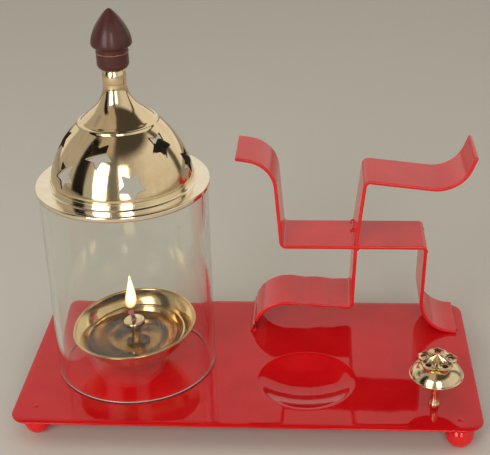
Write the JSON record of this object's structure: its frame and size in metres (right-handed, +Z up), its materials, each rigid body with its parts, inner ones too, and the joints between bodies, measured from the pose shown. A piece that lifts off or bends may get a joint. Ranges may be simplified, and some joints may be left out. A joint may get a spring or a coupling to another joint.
{
  "type": "prayer lamp stand",
  "caption": "Enamelled tray on ball feet with a glass-chimneyed oil lamp under a pierced brass lid, a standing emblem of bent strip, a pressed dish and a flower-topped incense holder.",
  "frame": {"origin": "on the surface the feet stand on, under the centre of the tray", "axes": "+X along the tray from the lamp to the incense holder, +Y to the back where the emblem stands, +Z up"},
  "size_m": [0.25, 0.126, 0.2211],
  "materials": {
    "red_enamel": "high-gloss baked enamel on sheet steel",
    "foot_enamel": "glossy enamel",
    "polished_brass": "polished, lightly lacquered",
    "plated_steel": "zinc plated",
    "brown_plastic": "moulded, glossy",
    "clear_glass": "clear, polished",
    "lamp_oil": "clear golden oil",
    "red_cotton": "twisted cotton, charred at its end"
  },
  "bodies": {
    "root": {"tray": "red_enamel", "foot_front_left": "foot_enamel", "foot_front_right": "foot_enamel", "foot_back_left": "foot_enamel", "foot_back_right": "foot_enamel", "foot_rivets": "red_enamel", "emblem_crossbar": "red_enamel", "emblem_right_leg": "red_enamel", "emblem_upper_arm": "red_enamel", "emblem_lower_arm": "red_enamel", "emblem_welds": "red_enamel", "oil_bowl": "polished_brass", "bowl_pedestal": "polished_brass", "bowl_washer": "plated_steel", "bowl_nut": "plated_steel", "wick_holder": "polished_brass", "cotton_wick": "red_cotton", "lamp_oil": "lamp_oil", "incense_stem": "polished_brass", "incense_dome": "polished_brass", "incense_flower": "polished_brass", "incense_washer": "plated_steel", "incense_nut": "plated_steel"},
    "chimney": {"glass_chimney": "clear_glass"},
    "lid": {"lid_flange": "polished_brass", "lid_dome": "polished_brass", "lid_collar": "polished_brass", "knob": "brown_plastic", "knob_stud": "plated_steel", "knob_nut": "plated_steel"}
  },
  "joints": [
    {"name": "chimney_lift", "type": "slide", "parent": "root", "child": "chimney", "axis": [0, 0, 1], "range_m": [0, 0.06]},
    {"name": "lid_lift", "type": "slide", "parent": "chimney", "child": "lid", "axis": [0, 0, 1], "range_m": [0, 0.03]}
  ]
}
